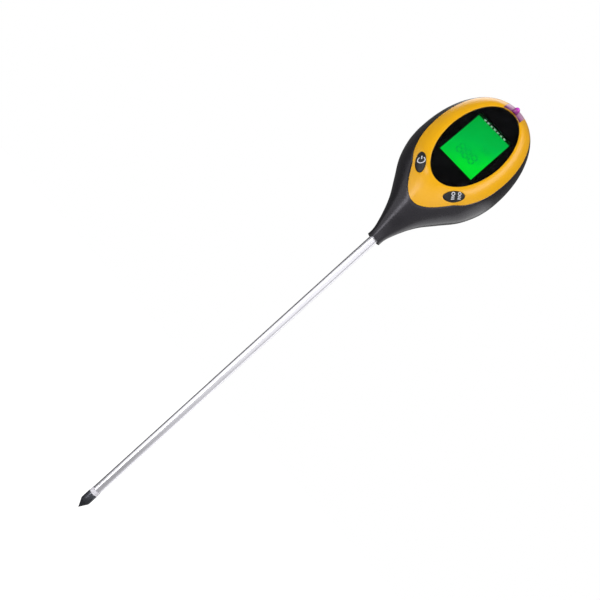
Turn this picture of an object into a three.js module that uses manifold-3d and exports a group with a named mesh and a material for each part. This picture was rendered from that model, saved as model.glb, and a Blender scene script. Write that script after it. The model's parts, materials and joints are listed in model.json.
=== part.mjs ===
// A soil tester: a long metal probe below an egg-shaped head with a display and two buttons.
// Millimetres, +Z up. The probe's point is the origin, the probe runs along +Z, the display faces -Y.
import * as THREE from 'three';
import { mergeVertices } from 'three/addons/utils/BufferGeometryUtils.js';
import Module from 'manifold-3d';

const wasm = await Module();
wasm.setup();

const GAP = 0.3; // running clearance between neighbouring pieces
const WALL = 2; // thickness of the head's shells
const ROUND = 24; // sides of the probe's round pieces
const SMALL_ROUND = 14; // sides of pins, screws and bosses
const WIRE_SIDES = 8;

// Probe, from the point up.
const TIP_R = 2.85;
const CONE_H = 5;
const TIP_TOP = 10.9;
const RING_TOP = 13.5;
const RING_R = 2.75;
const TUBE_R = 2.6;
const TUBE_BORE_R = 2.1;
const TUBE_TOP = 243;
const SPIGOT_R = 1.8;
const SPIGOT_FOOT = 6.4;
const SPIGOT_TOP = 22;
const LEAD_BORE_R = 1.15;
const LEAD_R = 0.8;
const BEAD_R = 0.9;
const BEAD_Z = 5;

// Neck and contact collar.
const NECK_Z = 217.2;
const NECK_BORE_R = TUBE_R + GAP;
const CAVITY_Z = 236.4;
const COLLAR_H = 4;
const COLLAR_R = 4.9;

// Face: the tilted plane of the display window, and depths measured inward from it.
const TILT = THREE.MathUtils.degToRad(14.3);
const FACE = new THREE.Vector3(0, -4.2, 294);
const WINDOW = { x: 18.05, v: 32.3 }; // half-axes of the oval window
const LENS_T = 1.5;
const LEDGE_D = LENS_T + GAP;
const LEDGE_T = 1.8;
const LEDGE_W = 1.2;
const PARTING_D = 5.5; // depth of the joint between the front cover and the rear housing
const LCD = { x: 12.2, bottom: -16.6, top: 17.1, front: 2.6, back: 4.4 };
const BACKLIGHT_BACK = 7.8;
const PINS = { count: 7, pitch: 2.54, v: 18.1, length: 1.6 };
const BOARD = { front: 8.1, back: 9.5, inset: 3, bottom: -42 };
const PAD = { x: 11.4, v: -29.4, r: 2.1, t: 0.2 };
const PILL = { r: 1.6, t: 1.5 };
const BAY_FLOOR_D = 11.5;

// Buttons.
const BUTTON = { x: 13.3, v: -31, long: 6.3, short: 2.6, lean: THREE.MathUtils.degToRad(40) };
const BUTTON_PROUD = 0.9;
const BUTTON_FLOOR_D = 4.8;
const FLANGE_T = 0.6;
const FLANGE_W = 1;

// Battery bay, battery and door, in face coordinates.
const BATTERY = { x: 13.25, bottom: -33, length: 48.5, front: 12.8, depth: 17.5 };
const BAY = { x: 13.9, bottom: -33.6, top: 27.6, wall: 1.2 };
const DOOR = { x: 15.4, bottom: -33.8, top: 28.6, corner: 4, inset: 1.9, edge: 0.5, from: 14 };
const STUD = { x: 6.35, height: 2.8 };
const SNAP = { x: 12.2, half: 5.8, height: 3.5 };
const LEAD_X = 3.5;
const BATTERY_LEAD = [ // [depth, v] from the snap over the bay's wall to the board
  [19, 22.4], [18, 25.5], [17.2, 28.5], [15, 31.2], [12, 30.6], [9.8, 29],
];
const HINGE_R = 1;
const HINGE_HALF = 5.5;
const STUB_R = 0.6;
const STUB_L = 1.2;
const EAR = { wide: 3.5, deep: 2.2, up: 2 }; // the housing's block that holds the hinge stubs
const TAB = { under: 0.7, over: 0.8, reach: 1.5 };
const LATCH = { x: 4, outer: 27.2, low: 3.2, high: 1.7 };
const LEAD_SLOT = { x: 6.5, front: 14.5, back: 20 };

// Head profile: half-width, front and back by height, each a smooth curve through a few stations.
const POLE = { y: 13.2, z: 332.3 };
const HALF_WIDTH = curve([
  [219, 4.4], [228, 6.5], [240, 11.6], [250.5, 18.3], [261, 25.1], [271.5, 29.2], [280, 30.8], [287, 31.1],
]);
const FRONT = curve([
  [219, -4.4], [227, -5.7], [236, -8.5], [245, -11.1], [251, -12.4], [257, -12.75], [263, -12.1],
  [275, -9.04], [290, -5.22],
]);
const BACK = curve([[219, 4.4], [228, 6.7], [238, 12], [250, 20.5], [262, 27.2], [274, 31.2], [288, 32.8]]);
const EQUATOR = curve([
  [219, 0], [235, 0.6], [250, 3.6], [268, 8.8], [287, 12.8], [302, 14.2], [318, 14], [POLE.z, POLE.y],
]);
const ROUND_FROM = { width: 287, front: 324, back: 288 };
const ROUND_POWER = { width: 2.1, front: 1.7, back: 2.3 };
const FACET = { x: 18.9, v: 33.2 }; // half-axes of the flat oval that carries the window
const FACET_Z = 275; // above this the front lies in the window's plane
const BELLY_Z = 262; // below this the sections turn round towards the neck
const FLANK_POWER = 1.72;
const BACK_POWER = 2.5;

// A smooth function through stations [height, value], flat beyond both ends.
function curve(stations) {
  const slope = stations.map((s, i) => {
    const [before, after] = [stations[i - 1], stations[i + 1]];
    return before && after ? (after[1] - before[1]) / (after[0] - before[0]) : 0;
  });
  return (z) => {
    if (z <= stations[0][0]) return stations[0][1];
    const next = stations.findIndex((s) => s[0] > z);
    if (next < 0) return stations.at(-1)[1];
    const [[z0, a], [z1, b]] = [stations[next - 1], stations[next]];
    const h = z1 - z0;
    const u = (z - z0) / h;
    const w = 1 - u;
    const values = a * (1 + 2 * u) * w * w + b * u * u * (3 - 2 * u);
    return values + h * u * w * (slope[next - 1] * w - slope[next] * u);
  };
}

// How far a profile has closed towards the top: 1 below `from`, 0 at the pole.
function closing(z, from, power, pole) {
  const u = THREE.MathUtils.clamp((z - from) / (pole - from), 0, 1);
  return (1 - u ** power) ** (1 / power);
}

function facePlaneY(z, depth) {
  return FACE.y + depth / Math.cos(TILT) + (z - FACE.z) * Math.tan(TILT);
}

// One horizontal section of the head, drawn in by `inset` from the outer surface.
function headSection(z, inset) {
  const pole = POLE.z - inset;
  const half = (HALF_WIDTH(z) - inset) * closing(z, ROUND_FROM.width, ROUND_POWER.width, pole);
  const openFront = (z < FACET_Z ? FRONT(z) : facePlaneY(z, 0)) + inset;
  const front = POLE.y - (POLE.y - openFront) * closing(z, ROUND_FROM.front, ROUND_POWER.front, pole);
  const back = POLE.y + (BACK(z) - inset - POLE.y) * closing(z, ROUND_FROM.back, ROUND_POWER.back, pole);
  const v = (z - FACE.z) / Math.cos(TILT) / FACET.v;
  const facet = Math.abs(v) < 1 ? FACET.x * Math.sqrt(1 - v * v) : 0;
  const flat = Math.max(Math.min(0.5, half / 5), Math.min(facet, half - 2));
  const squareness = THREE.MathUtils.smoothstep(z, 225, BELLY_Z);
  return {
    half, front, back, flat, equator: EQUATOR(z),
    flankPower: THREE.MathUtils.lerp(2, FLANK_POWER, squareness),
    backPower: THREE.MathUtils.lerp(2, BACK_POWER, squareness),
  };
}

const BACK_STEPS = 14;
const FLANK_STEPS = 6;
const RING_SPACING = 5;
const UPPER_RINGS = 13;

// The section as a ring of points, anticlockwise from above: round the back, then the front.
function headRing(z, inset) {
  const s = headSection(z, inset);
  const ring = [];
  for (let k = 0; k < BACK_STEPS; k++) {
    const t = (Math.PI * k) / BACK_STEPS;
    const c = Math.cos(t);
    const x = s.half * Math.sign(c) * Math.abs(c) ** (2 / s.backPower);
    ring.push(new THREE.Vector3(x, s.equator + (s.back - s.equator) * Math.sin(t) ** (2 / s.backPower), z));
  }
  const flank = (q, side) => {
    const x = s.flat + (s.half - s.flat) * Math.cos(q) ** (2 / s.flankPower);
    const y = s.equator + (s.front - s.equator) * Math.sin(q) ** (2 / s.flankPower);
    return new THREE.Vector3(side * x, y, z);
  };
  for (let k = 0; k <= FLANK_STEPS; k++) ring.push(flank((Math.PI / 2) * (k / FLANK_STEPS), -1));
  for (let k = FLANK_STEPS; k > 0; k--) ring.push(flank((Math.PI / 2) * (k / FLANK_STEPS), 1));
  return ring;
}

// A closed skin over rings with the same number of points, capped at both ends.
function loft(rings) {
  const count = rings[0].length;
  const index = [];
  for (let r = 0; r + 1 < rings.length; r++) {
    for (let i = 0; i < count; i++) {
      const a = r * count + i;
      const b = r * count + ((i + 1) % count);
      index.push(a, b, b + count, a, b + count, a + count);
    }
  }
  const top = (rings.length - 1) * count;
  for (let i = 1; i + 1 < count; i++) index.push(0, i + 1, i, top, top + i, top + i + 1);
  const geometry = new THREE.BufferGeometry();
  const positions = rings.flat().flatMap((p) => p.toArray());
  geometry.setAttribute('position', new THREE.Float32BufferAttribute(positions, 3));
  geometry.setIndex(index);
  return geometry;
}

// The whole head drawn in by `inset`, from height `bottom` to the pole.
function headBody(inset, bottom) {
  const lower = Math.round((BELLY_Z - bottom) / RING_SPACING);
  const quarter = (Math.PI / 2) * 0.99;
  const rings = [];
  for (let k = 0; k < lower; k++) {
    rings.push(headRing(THREE.MathUtils.lerp(bottom, BELLY_Z, k / lower), inset));
  }
  for (let k = 0; k <= UPPER_RINGS; k++) {
    const rise = Math.sin(quarter * (k / UPPER_RINGS)) / Math.sin(quarter);
    rings.push(headRing(THREE.MathUtils.lerp(BELLY_Z, POLE.z - inset - 0.01, rise), inset));
  }
  return solid(loft(rings));
}

// Solids for joining and cutting.
function solid(geometry) {
  const bare = geometry.clone();
  bare.deleteAttribute('normal');
  bare.deleteAttribute('uv');
  const merged = mergeVertices(bare, 1e-4);
  const vertProperties = merged.attributes.position.array;
  const triVerts = Uint32Array.from(merged.index.array);
  return new wasm.Manifold(new wasm.Mesh({ numProp: 3, vertProperties, triVerts }));
}

function geometryOf(manifold) {
  const { vertProperties, triVerts } = manifold.getMesh();
  const geometry = new THREE.BufferGeometry();
  geometry.setAttribute('position', new THREE.BufferAttribute(vertProperties, 3));
  geometry.setIndex(new THREE.BufferAttribute(triVerts, 1));
  return geometry;
}

const object = new THREE.Group();
const face = new THREE.Group(); // x to the right, z up the face, y the depth inward
face.position.copy(FACE);
face.rotation.x = -TILT;
face.updateMatrix();
object.add(face);

// Face geometry as a solid in the object's own frame.
function onFace(geometry) {
  return solid(geometry.clone().applyMatrix4(face.matrix));
}

function material(color, roughness, metalness = 0) {
  return { color, roughness, metalness };
}

const BLACK_PLASTIC = material(0x232224, 0.42);
const YELLOW_PLASTIC = material(0xe0a315, 0.4);
const BLACK_RUBBER = material(0x2b2b2e, 0.6);
const DARK_GLASS = material(0x08080a, 0.05);
const LCD_GREEN = material(0x0fbf52, 0.3);
const VIOLET = material(0xc040c8, 0.15);
const LILAC = material(0xd9a9c4, 0.3);
const ALUMINIUM = material(0xb9b9c2, 0.3, 1);
const DARK_METAL = material(0x55565c, 0.4, 1);
const BRASS = material(0xb5914b, 0.35, 1);
const STEEL = material(0x9a9ba0, 0.35, 1);
const WHITE_PLASTIC = material(0xe9e8ee, 0.5);
const BOARD_GREEN = material(0x1d5a35, 0.5);
const RED_WIRE = material(0xb3201c, 0.5);

function piece(name, shape, look, parent = object) {
  const geometry = shape instanceof THREE.BufferGeometry ? shape : geometryOf(shape);
  const mesh = new THREE.Mesh(geometry, new THREE.MeshStandardMaterial(look));
  mesh.name = name;
  parent.add(mesh);
  return mesh;
}

// Plain shapes.
function lathe(points, sides = ROUND) {
  const profile = points.map(([r, z]) => new THREE.Vector2(r, z));
  return new THREE.LatheGeometry(profile, sides).rotateX(Math.PI / 2);
}

function rod(radius, z0, z1, sides = ROUND) {
  const cylinder = new THREE.CylinderGeometry(radius, radius, z1 - z0, sides);
  return cylinder.rotateX(Math.PI / 2).translate(0, 0, (z0 + z1) / 2);
}

function ring(inner, outer, z0, z1, sides = ROUND) {
  return lathe([[inner, z0], [outer, z0], [outer, z1], [inner, z1], [inner, z0]], sides);
}

function block(x0, x1, y0, y1, z0, z1) {
  const box = new THREE.BoxGeometry(x1 - x0, y1 - y0, z1 - z0);
  return box.translate((x0 + x1) / 2, (y0 + y1) / 2, (z0 + z1) / 2);
}

function wire(points, radius, steps = 10) {
  const section = new THREE.Shape();
  for (let k = 0; k < WIRE_SIDES; k++) {
    const angle = (2 * Math.PI * k) / WIRE_SIDES;
    const corner = [radius * Math.cos(angle), radius * Math.sin(angle)];
    if (k === 0) section.moveTo(...corner);
    else section.lineTo(...corner);
  }
  const path = new THREE.CatmullRomCurve3(points.map((p) => new THREE.Vector3(...p)));
  return new THREE.ExtrudeGeometry(section, { extrudePath: path, steps });
}

// Face shapes: an outline in (x, v) made solid between two depths.
function slab(shape, depth0, depth1, curveSegments = 12) {
  const options = { depth: depth1 - depth0, bevelEnabled: false, curveSegments };
  const geometry = new THREE.ExtrudeGeometry(shape, options);
  return geometry.rotateX(Math.PI / 2).translate(0, depth1, 0);
}

function oval(rx, rv, x = 0, v = 0, lean = 0) {
  return new THREE.Shape().absellipse(x, v, rx, rv, 0, 2 * Math.PI, false, lean);
}

function rectangle(x0, x1, v0, v1) {
  const shape = new THREE.Shape();
  shape.moveTo(x0, v0).lineTo(x1, v0).lineTo(x1, v1).lineTo(x0, v1);
  return shape;
}

function roundedRectangle(x0, x1, v0, v1, r) {
  const shape = new THREE.Shape();
  shape.moveTo(x0 + r, v0).lineTo(x1 - r, v0);
  shape.absarc(x1 - r, v0 + r, r, -Math.PI / 2, 0);
  shape.absarc(x1 - r, v1 - r, r, 0, Math.PI / 2);
  shape.absarc(x0 + r, v1 - r, r, Math.PI / 2, Math.PI);
  shape.absarc(x0 + r, v0 + r, r, Math.PI, 1.5 * Math.PI);
  return shape;
}

function facePin(radius, x, v, depth0, depth1, sides = SMALL_ROUND) {
  const pin = new THREE.CylinderGeometry(radius, radius, depth1 - depth0, sides);
  return pin.translate(x, (depth0 + depth1) / 2, v);
}

const FAR = 60; // past every surface of the head

// Head shells.
const outer = headBody(0, NECK_Z);
const cavity = headBody(WALL, CAVITY_Z);
const everything = rectangle(-FAR, FAR, -2 * FAR, FAR);
const frontSide = (depth) => onFace(slab(everything, -FAR, depth));
const backSide = (depth) => onFace(slab(everything, depth, FAR));
const ventral = PARTING_D - GAP / 2;
const dorsal = PARTING_D + GAP / 2;

const SCREW_BOSSES = [[-20, 8], [20, 8], [-19.4, -11], [19.4, -11]];
const BOARD_BOSSES = [[-14.6, 20.5], [14.6, 20.5], [-14.6, -20.5], [14.6, -20.5]];
const SCREW = { head: 1.9, shank: 1, tip: 6.5, seat: 14.6, headT: 1.6 };
const SMALL_SCREW = { head: 1.6, shank: 0.7, tip: 5, headT: 0.9 };
const BOSS_R = 2.7;
const SMALL_BOSS_R = 2.1;
const BOSS_JOINT = 10.6; // depth where the cover's screw bosses meet the housing's

// The light sensor sits in the top edge, leaning forward from the face's up direction.
const SENSOR = { x: 0.2, v: 34.6, depth: -0.9, r: 1.9, tail: 2, lean: THREE.MathUtils.degToRad(60) };
const LEG = { x: 1.1, v: 33.65, half: 0.25, front: 1.7 };
const LIGHT_WINDOW = { x: 6.3, v: 26 };

function buttonOval(side, grow) {
  return oval(BUTTON.short + grow, BUTTON.long + grow, side * BUTTON.x, BUTTON.v, -side * BUTTON.lean);
}

function sensorBody(grow) {
  const r = SENSOR.r + grow;
  const dome = 4;
  const profile = [[0, -SENSOR.tail - grow], [r, -SENSOR.tail - grow]];
  for (let k = 0; k < dome; k++) {
    const t = (Math.PI / 2) * (k / dome);
    profile.push([r * Math.cos(t), r * Math.sin(t)]);
  }
  profile.push([0, r]);
  const body = lathe(profile, 16);
  return body.rotateX(Math.PI / 2 - SENSOR.lean).translate(SENSOR.x, SENSOR.depth, SENSOR.v);
}

function lightWindowRegion(grow) {
  const across = LIGHT_WINDOW.x + grow;
  const region = onFace(slab(rectangle(-across, across, LIGHT_WINDOW.v, FAR), -FAR, PARTING_D + 1));
  const rim = oval(WINDOW.x + 2 * GAP - grow, WINDOW.v + 2 * GAP - grow);
  return region.subtract(onFace(slab(rim, -FAR, FAR)));
}

function frontCover() {
  let cover = outer.subtract(cavity);
  const ledge = slab(oval(WINDOW.x + 1.5, WINDOW.v + 1.5), LEDGE_D - 1, LEDGE_D + LEDGE_T);
  cover = cover.add(onFace(ledge).intersect(outer));
  cover = cover.intersect(frontSide(ventral));
  for (const [x, v] of SCREW_BOSSES) {
    cover = cover.add(onFace(facePin(BOSS_R, x, v, WALL, BOSS_JOINT - GAP)).intersect(outer));
  }
  for (const [x, v] of BOARD_BOSSES) {
    cover = cover.add(onFace(facePin(SMALL_BOSS_R, x, v, WALL, BOARD.front - GAP)));
  }
  cover = cover.subtract(onFace(slab(oval(WINDOW.x + GAP, WINDOW.v + GAP), -FAR, LEDGE_D, 28)));
  cover = cover.subtract(onFace(slab(oval(WINDOW.x - LEDGE_W, WINDOW.v - LEDGE_W), 0, FAR)));
  for (const side of [-1, 1]) {
    cover = cover.subtract(onFace(slab(buttonOval(side, GAP), -FAR, FAR)));
  }
  for (const [bosses, size] of [[SCREW_BOSSES, SCREW], [BOARD_BOSSES, SMALL_SCREW]]) {
    for (const [x, v] of bosses) {
      cover = cover.subtract(onFace(facePin(size.shank + GAP, x, v, size.tip - 1, FAR)));
    }
  }
  return cover.subtract(lightWindowRegion(GAP)).subtract(onFace(sensorBody(GAP)));
}

function lightWindow() {
  const skin = outer.subtract(cavity).intersect(frontSide(ventral)).intersect(lightWindowRegion(0));
  const half = SENSOR.r + GAP;
  const legSlot = onFace(
    block(SENSOR.x - half, SENSOR.x + half, SENSOR.depth, FAR, WINDOW.v - 1, SENSOR.v + 0.4),
  );
  return skin.subtract(onFace(sensorBody(GAP))).subtract(legSlot);
}

function doorOutline(grow, edge) {
  const r = DOOR.corner + grow;
  return roundedRectangle(-DOOR.x - grow, DOOR.x + grow, DOOR.bottom - edge, DOOR.top + edge, r);
}

// The hinge axis crosses the door's lower edge, just under the back surface.
function hingeAxis() {
  const v = DOOR.bottom - 1.2;
  let depth = 15;
  while (backDepthReached(v, depth)) depth += 0.05;
  return { v, depth: depth - HINGE_R - 0.1 };
}

// Whether a point in the middle of the head at this place on the face is still inside the back.
function backDepthReached(v, depth) {
  const z = FACE.z + v * Math.cos(TILT) - depth * Math.sin(TILT);
  const y = FACE.y + v * Math.sin(TILT) + depth * Math.cos(TILT);
  return y < headSection(z, 0).back;
}

const HINGE = hingeAxis();

function acrossPin(radius, x0, x1) {
  const pin = new THREE.CylinderGeometry(radius, radius, x1 - x0, SMALL_ROUND).rotateZ(Math.PI / 2);
  return onFace(pin.translate((x0 + x1) / 2, HINGE.depth, HINGE.v));
}

function hingeNotch(half, reach, r) {
  const notch = block(-half, half, HINGE.depth - r, FAR, HINGE.v, DOOR.bottom + reach);
  const mouth = block(-half, half, HINGE.depth, FAR, HINGE.v - r, HINGE.v + r);
  return onFace(notch).add(acrossPin(r, -half, half)).add(onFace(mouth));
}

function rearHousing() {
  let housing = outer.subtract(cavity);
  const wide = BAY.x + BAY.wall;
  const bay = roundedRectangle(-wide, wide, BAY.bottom - BAY.wall, BAY.top + BAY.wall, 3);
  housing = housing.add(onFace(slab(bay, BAY_FLOOR_D, FAR, 3)).intersect(outer));
  for (const [x, v] of SCREW_BOSSES) {
    housing = housing.add(onFace(facePin(BOSS_R, x, v, BOSS_JOINT, FAR)).intersect(outer));
  }
  const span = HINGE_HALF + EAR.wide;
  const ears = block(-span, span, HINGE.depth - EAR.deep, FAR, HINGE.v - EAR.deep, HINGE.v + EAR.up);
  housing = housing.add(onFace(ears).intersect(outer));
  housing = housing.intersect(backSide(dorsal));
  const hollow = roundedRectangle(-BAY.x, BAY.x, BAY.bottom, BAY.top, 1.8);
  housing = housing.subtract(onFace(slab(hollow, BATTERY.front - GAP, FAR, 3)));
  const underDoor = headBody(DOOR.inset + GAP, CAVITY_Z);
  const recess = onFace(slab(doorOutline(GAP, DOOR.edge), DOOR.from, FAR, 5));
  housing = housing.subtract(recess.subtract(underDoor));
  housing = housing.subtract(hingeNotch(HINGE_HALF + GAP, 1, HINGE_R + 0.4));
  const stub = HINGE_HALF + STUB_L + GAP;
  housing = housing.subtract(acrossPin(STUB_R + GAP, -stub, stub));
  const { x, front, back } = LEAD_SLOT;
  const slot = block(-x, x, front, back, BAY.top - 1, BAY.top + BAY.wall + 1);
  housing = housing.subtract(onFace(slot));
  for (const [x, v] of SCREW_BOSSES) {
    housing = housing.subtract(onFace(facePin(SCREW.shank + GAP, x, v, 5, FAR)));
    housing = housing.subtract(onFace(facePin(SCREW.head + GAP, x, v, SCREW.seat - GAP, FAR)));
  }
  return housing.subtract(solid(rod(NECK_BORE_R, 200, CAVITY_Z + 1)));
}

function batteryDoor() {
  const skin = outer.subtract(headBody(DOOR.inset, CAVITY_Z));
  let door = onFace(slab(doorOutline(0, 0), DOOR.from, FAR, 5)).intersect(skin);
  const [tabFront, tabBack] = [HINGE.depth - TAB.under, HINGE.depth + TAB.over];
  const tab = block(-HINGE_HALF, HINGE_HALF, tabFront, tabBack, HINGE.v, DOOR.bottom + TAB.reach);
  door = door.add(onFace(tab).intersect(outer)).add(acrossPin(HINGE_R, -HINGE_HALF, HINGE_HALF));
  const stub = HINGE_HALF + STUB_L;
  door = door.add(acrossPin(STUB_R, -stub, stub));
  const latch = block(-LATCH.x, LATCH.x, LATCH.outer, FAR, DOOR.top - LATCH.low, DOOR.top - LATCH.high);
  return door.add(onFace(latch).intersect(headBody(1, CAVITY_Z)));
}

function mainBoard() {
  const layer = slab(rectangle(-FAR, FAR, BOARD.bottom, FAR), BOARD.front, BOARD.back);
  let board = headBody(BOARD.inset, CAVITY_Z).intersect(onFace(layer));
  for (const [holes, r] of [[SCREW_BOSSES, BOSS_R], [BOARD_BOSSES, SMALL_SCREW.shank]]) {
    for (const [x, v] of holes) board = board.subtract(onFace(facePin(r + GAP, x, v, 0, FAR)));
  }
  return board;
}

function button(side) {
  const post = onFace(slab(buttonOval(side, 0), -FAR, BUTTON_FLOOR_D));
  const cap = post.intersect(headBody(-BUTTON_PROUD, NECK_Z));
  const flange = onFace(slab(buttonOval(side, FLANGE_W), BUTTON_FLOOR_D, BUTTON_FLOOR_D + FLANGE_T));
  return cap.add(flange.intersect(headBody(WALL + 2 * GAP, CAVITY_Z)));
}

function screw(x, v, size, seat) {
  const head = facePin(size.head, x, v, seat, seat + size.headT);
  return onFace(head).add(onFace(facePin(size.shank, x, v, size.tip, seat + 0.1, 10)));
}

function buildHead() {
  piece('rear_housing', rearHousing(), BLACK_PLASTIC);
  piece('front_cover', frontCover(), YELLOW_PLASTIC);
  piece('battery_door', batteryDoor(), BLACK_PLASTIC);
  piece('light_window', lightWindow(), LILAC);
  piece('light_sensor', sensorBody(0), VIOLET, face);
  for (const [k, side] of [[1, -1], [2, 1]]) {
    const x = SENSOR.x + side * LEG.x;
    const { half, front, v } = LEG;
    const leg = block(x - half, x + half, front, BOARD.front - GAP, v - half, v + half);
    piece(`sensor_leg_${k}`, leg, STEEL, face);
  }
  SCREW_BOSSES.forEach(([x, v], k) => {
    piece(`housing_screw_${k + 1}`, screw(x, v, SCREW, SCREW.seat), STEEL);
  });
}

function buildDisplay() {
  piece('window_lens', slab(oval(WINDOW.x, WINDOW.v), 0, LENS_T, 28), DARK_GLASS, face);
  const mask = oval(WINDOW.x - LEDGE_W - GAP, WINDOW.v - LEDGE_W - GAP);
  mask.holes.push(rectangle(-LCD.x, LCD.x, LCD.bottom, PINS.v + 1));
  piece('window_mask', slab(mask, LEDGE_D, LEDGE_D + 0.5, 24), DARK_GLASS, face);
  piece('lcd_glass', block(-LCD.x, LCD.x, LCD.front, LCD.back, LCD.bottom, LCD.top), LCD_GREEN, face);
  const backlight = block(-LCD.x, LCD.x, LCD.back + GAP, BACKLIGHT_BACK, LCD.bottom, LCD.top);
  piece('lcd_backlight', backlight, WHITE_PLASTIC, face);
  piece('lcd_pin_strip', pinStrip(), STEEL);
  piece('main_board', mainBoard(), BOARD_GREEN);
  piece('controller_chip', facePin(4.5, 0, -18, BOARD.back + 0.1, BOARD.back + 1.6), DARK_GLASS, face);
  BOARD_BOSSES.forEach(([x, v], k) => {
    piece(`board_screw_${k + 1}`, screw(x, v, SMALL_SCREW, BOARD.back + GAP), STEEL);
  });
}

// Seven contact pins on one carrier bar above the display glass.
function pinStrip() {
  const { count, pitch, v, length } = PINS;
  const half = (count * pitch) / 2;
  let strip = onFace(block(-half, half, LCD.back, BOARD.front - GAP, v - 0.6, v + 0.6));
  for (let k = 0; k < count; k++) {
    const x = (k - (count - 1) / 2) * pitch;
    const pin = block(x - length / 2, x + length / 2, LCD.front, LCD.back + 1, v - 0.3, v + 0.3);
    strip = strip.add(onFace(pin));
  }
  return strip;
}

function buildButtons() {
  for (const [name, side] of [['on', -1], ['off', 1]]) {
    piece(`button_${name}`, button(side), BLACK_RUBBER);
    const pillTop = BUTTON_FLOOR_D + FLANGE_T + 0.1;
    const pill = facePin(PILL.r, side * PAD.x, PAD.v, pillTop, pillTop + PILL.t);
    piece(`contact_pill_${name}`, pill, BLACK_RUBBER, face);
    const pad = facePin(PAD.r, side * PAD.x, PAD.v, BOARD.front - 0.05 - PAD.t, BOARD.front - 0.05);
    piece(`contact_pad_${name}`, pad, BRASS, face);
  }
}

function buildBattery() {
  const { x, bottom, length, front, depth } = BATTERY;
  const can = slab(roundedRectangle(-x, x, bottom, bottom + length, 1.2), front, front + depth, 4);
  piece('battery', can, STEEL, face);
  const middle = front + depth / 2;
  const top = bottom + length;
  for (const [name, side, r] of [['plus', -1, 2.8], ['minus', 1, 3.8]]) {
    const stud = rod(r, top + 0.05, top + STUD.height, SMALL_ROUND);
    piece(`battery_terminal_${name}`, stud.translate(side * STUD.x, middle, 0), STEEL, face);
  }
  const foot = top + STUD.height + GAP;
  const snap = block(-SNAP.x, SNAP.x, middle - SNAP.half, middle + SNAP.half, foot, foot + SNAP.height);
  piece('battery_snap', snap, BLACK_PLASTIC, face);
  for (const [name, side, look] of [['red', -1, RED_WIRE], ['black', 1, BLACK_RUBBER]]) {
    const route = BATTERY_LEAD.map(([leadDepth, v]) => [side * LEAD_X, leadDepth, v]);
    piece(`battery_lead_${name}`, wire(route, 0.6), look, face);
  }
}

// The tip: a solid cone with a socket for the insulator's spigot and a well for the bead.
function probeTip() {
  const foot = SPIGOT_FOOT - GAP;
  const well = BEAD_Z - BEAD_R - GAP;
  const outside = [[0, 0], [TIP_R, CONE_H], [TIP_R, TIP_TOP]];
  const socket = [[SPIGOT_R + GAP, TIP_TOP], [SPIGOT_R + GAP, foot], [LEAD_BORE_R, foot]];
  return lathe([...outside, ...socket, [LEAD_BORE_R, well], [0, well]]);
}

// The insulator: a ring between tip and tube on a spigot that enters both.
function insulatorRing() {
  const below = TIP_TOP + 0.1;
  return lathe([
    [LEAD_BORE_R, SPIGOT_FOOT], [SPIGOT_R, SPIGOT_FOOT], [SPIGOT_R, below], [RING_R, below],
    [RING_R, RING_TOP], [SPIGOT_R, RING_TOP], [SPIGOT_R, SPIGOT_TOP], [LEAD_BORE_R, SPIGOT_TOP],
    [LEAD_BORE_R, SPIGOT_FOOT],
  ]);
}

function buildProbe() {
  piece('probe_tip', probeTip(), DARK_METAL);
  piece('insulator_ring', insulatorRing(), WHITE_PLASTIC);
  piece('probe_tube', ring(TUBE_BORE_R, TUBE_R, RING_TOP + 0.1, TUBE_TOP), ALUMINIUM);
  piece('thermistor_bead', new THREE.SphereGeometry(BEAD_R, 10, 6).translate(0, 0, BEAD_Z), BLACK_RUBBER);
  const collarFoot = CAVITY_Z + GAP;
  const collarTop = collarFoot + COLLAR_H;
  piece('contact_collar', ring(TUBE_R + GAP, COLLAR_R, collarFoot, collarTop), BRASS);
  const boardFoot = new THREE.Vector3(0, BOARD.back + GAP, BOARD.bottom + 2).applyMatrix4(face.matrix);
  const inTube = [BEAD_Z + BEAD_R + GAP, 80, 160, 240].map((z) => [0, 0, z]);
  const sensorRoute = [...inTube, [0, -0.2, 246], [0, -1.8, 250.5], boardFoot.toArray()];
  piece('sensor_lead', wire(sensorRoute, LEAD_R, 28), BLACK_RUBBER);
  const tag = COLLAR_R - 0.9;
  const rise = [[tag, 0, collarTop + GAP], [tag, -0.3, 245], [tag, -1.8, 250]];
  piece('electrode_lead', wire([...rise, [tag, boardFoot.y, boardFoot.z]], 0.6), RED_WIRE);
}

buildProbe();
buildHead();
buildDisplay();
buildButtons();
buildBattery();

export default object;
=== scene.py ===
"""A soil tester's looks: a metal probe below an egg-shaped head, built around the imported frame.

Lengths are millimetres in the object's frame (+Z up the probe, the display faces -Y) until a mesh is made.
Face coordinates are x, v up the tilted face, and depth inward from the window's plane.
"""
import json
import math

import bmesh
import bpy
import numpy as np
from mathutils import Matrix, Vector


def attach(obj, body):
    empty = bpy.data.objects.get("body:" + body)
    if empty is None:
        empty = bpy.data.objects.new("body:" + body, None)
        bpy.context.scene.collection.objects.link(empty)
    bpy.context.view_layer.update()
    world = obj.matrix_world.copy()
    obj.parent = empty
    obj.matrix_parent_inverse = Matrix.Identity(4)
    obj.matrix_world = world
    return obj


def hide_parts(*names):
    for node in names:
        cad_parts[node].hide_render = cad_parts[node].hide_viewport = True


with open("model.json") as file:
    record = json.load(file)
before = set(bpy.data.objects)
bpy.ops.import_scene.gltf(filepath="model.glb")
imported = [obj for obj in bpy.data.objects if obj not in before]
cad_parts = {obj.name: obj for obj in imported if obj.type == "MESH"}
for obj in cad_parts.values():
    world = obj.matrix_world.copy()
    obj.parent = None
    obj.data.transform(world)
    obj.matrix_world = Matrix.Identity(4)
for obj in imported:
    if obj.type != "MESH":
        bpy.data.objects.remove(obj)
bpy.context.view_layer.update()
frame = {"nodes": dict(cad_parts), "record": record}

MM = 0.001
GAP = 0.3
WALL = 2.0
FAR = 60.0
HEAD_TURNS = {"back_steps": 72, "flank_steps": 34, "spacing": 0.9, "upper": 110}
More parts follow.
